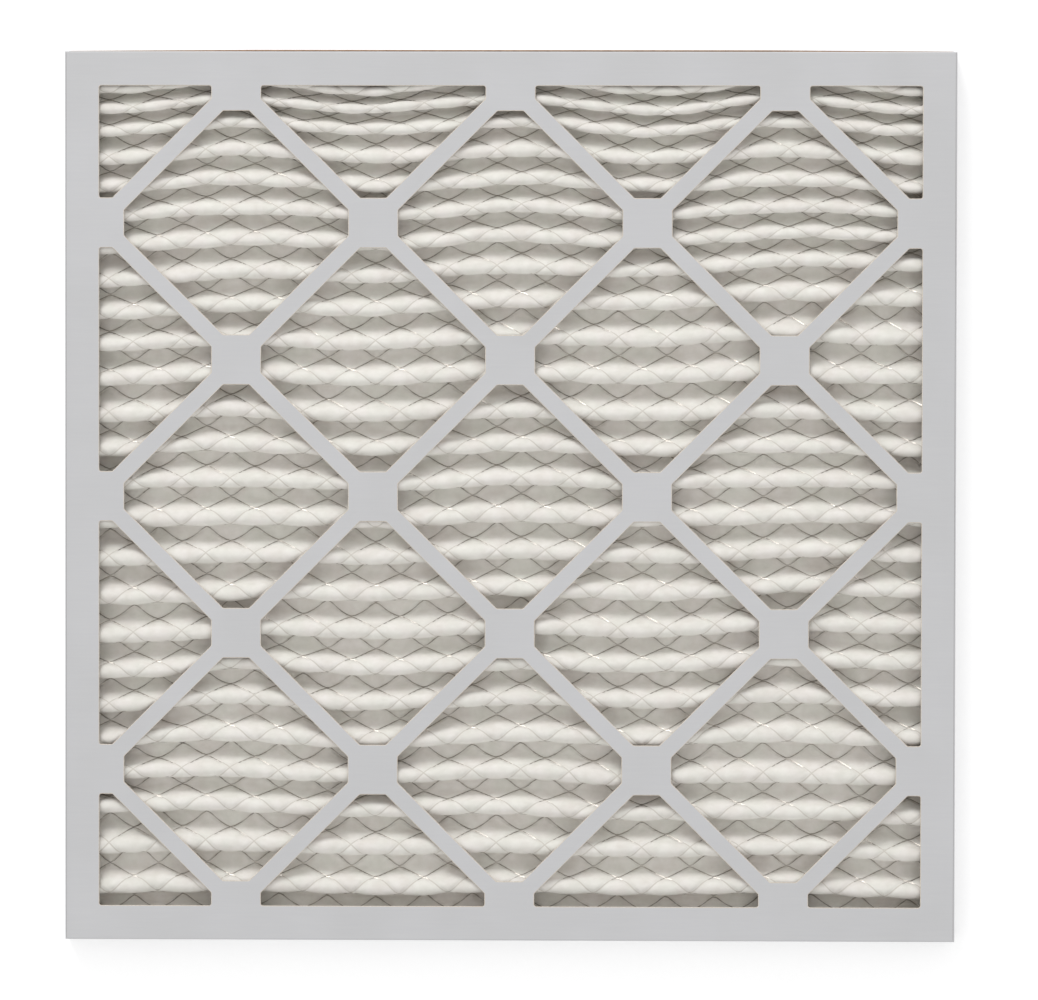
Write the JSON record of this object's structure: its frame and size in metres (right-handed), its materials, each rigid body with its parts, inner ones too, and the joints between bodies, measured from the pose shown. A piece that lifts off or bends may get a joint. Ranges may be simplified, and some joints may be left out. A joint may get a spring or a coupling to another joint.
{
  "type": "pleated panel air filter",
  "caption": "Flat square air filter: pleated white media with expanded steel backing, held between two die-cut board frames with a diagonal lattice.",
  "frame": {"origin": "centre of the upstream face, on the surface that the panel lies on", "axes": "+X along the pleats, +Y across the pleats, +Z through the depth and out of the downstream face, which is the way the air flows"},
  "size_m": [0.4952, 0.4952, 0.0191],
  "materials": {
    "board": "clay-coated light grey face, kraft brown inside",
    "media": "warm white nonwoven",
    "mesh": "plain expanded steel",
    "adhesive": "set hot-melt adhesive"
  },
  "bodies": {
    "root": {"front_frame": "board", "rear_frame": "board", "media_pack": "media", "support_mesh": "mesh", "side_seal_left": "adhesive", "side_seal_right": "adhesive", "end_seal_bottom": "adhesive", "end_seal_top": "adhesive"}
  },
  "joints": []
}
